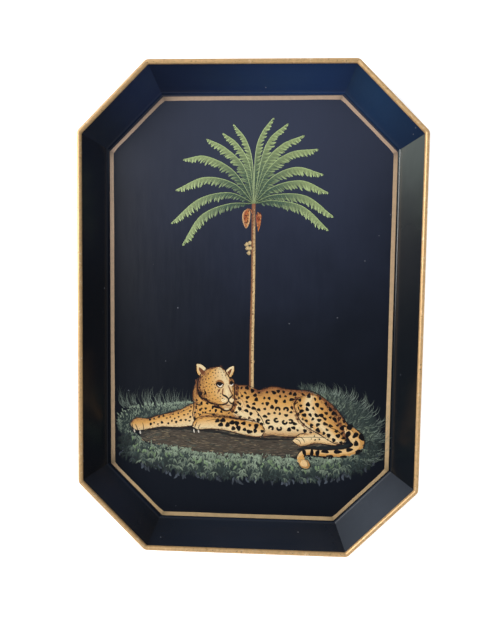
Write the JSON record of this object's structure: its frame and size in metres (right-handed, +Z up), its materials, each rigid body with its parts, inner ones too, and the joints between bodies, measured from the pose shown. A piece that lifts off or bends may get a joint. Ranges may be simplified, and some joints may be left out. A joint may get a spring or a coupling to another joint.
{
  "type": "eight-sided serving tray",
  "caption": "Long serving tray of lacquered sheet iron with cut-off corners, a flat floor, steep flared sides and a round wired gilt rim.",
  "frame": {"origin": "middle of the tray's outline, on the plane that it rests on", "axes": "+Z up out of the floor, +Y along the tray towards the top of the painted scene, +X to the scene's right"},
  "size_m": [0.35, 0.5, 0.034],
  "materials": {
    "lacquer": "blue-black lacquer on sheet iron, glossy but finely scuffed, hand-painted on the inside",
    "gilt": "worn gilding on sheet iron, with brown size showing through and bright rubbed spots",
    "lacquered_solder": "lacquer over soft solder, slightly lumpy",
    "iron_wire": "drawn iron wire"
  },
  "bodies": {
    "root": {"floor_panel": "lacquer", "rim_wire": "iron_wire", "side_panel_right": "lacquer", "corner_panel_top_right": "lacquer", "end_panel_top": "lacquer", "corner_panel_top_left": "lacquer", "side_panel_left": "lacquer", "corner_panel_bottom_left": "lacquer", "end_panel_bottom": "lacquer", "corner_panel_bottom_right": "lacquer", "rim_binding_right": "gilt", "rim_binding_top_right": "gilt", "rim_binding_top": "gilt", "rim_binding_top_left": "gilt", "rim_binding_left": "gilt", "rim_binding_bottom_left": "gilt", "rim_binding_bottom": "gilt", "rim_binding_bottom_right": "gilt", "corner_seam_right_upper": "lacquered_solder", "corner_seam_top_right": "lacquered_solder", "corner_seam_top_left": "lacquered_solder", "corner_seam_left_upper": "lacquered_solder", "corner_seam_left_lower": "lacquered_solder", "corner_seam_bottom_left": "lacquered_solder", "corner_seam_bottom_right": "lacquered_solder", "corner_seam_right_lower": "lacquered_solder", "lap_seam_right": "lacquered_solder", "lap_seam_top_right": "lacquered_solder", "lap_seam_top": "lacquered_solder", "lap_seam_top_left": "lacquered_solder", "lap_seam_left": "lacquered_solder", "lap_seam_bottom_left": "lacquered_solder", "lap_seam_bottom": "lacquered_solder", "lap_seam_bottom_right": "lacquered_solder"}
  },
  "joints": []
}
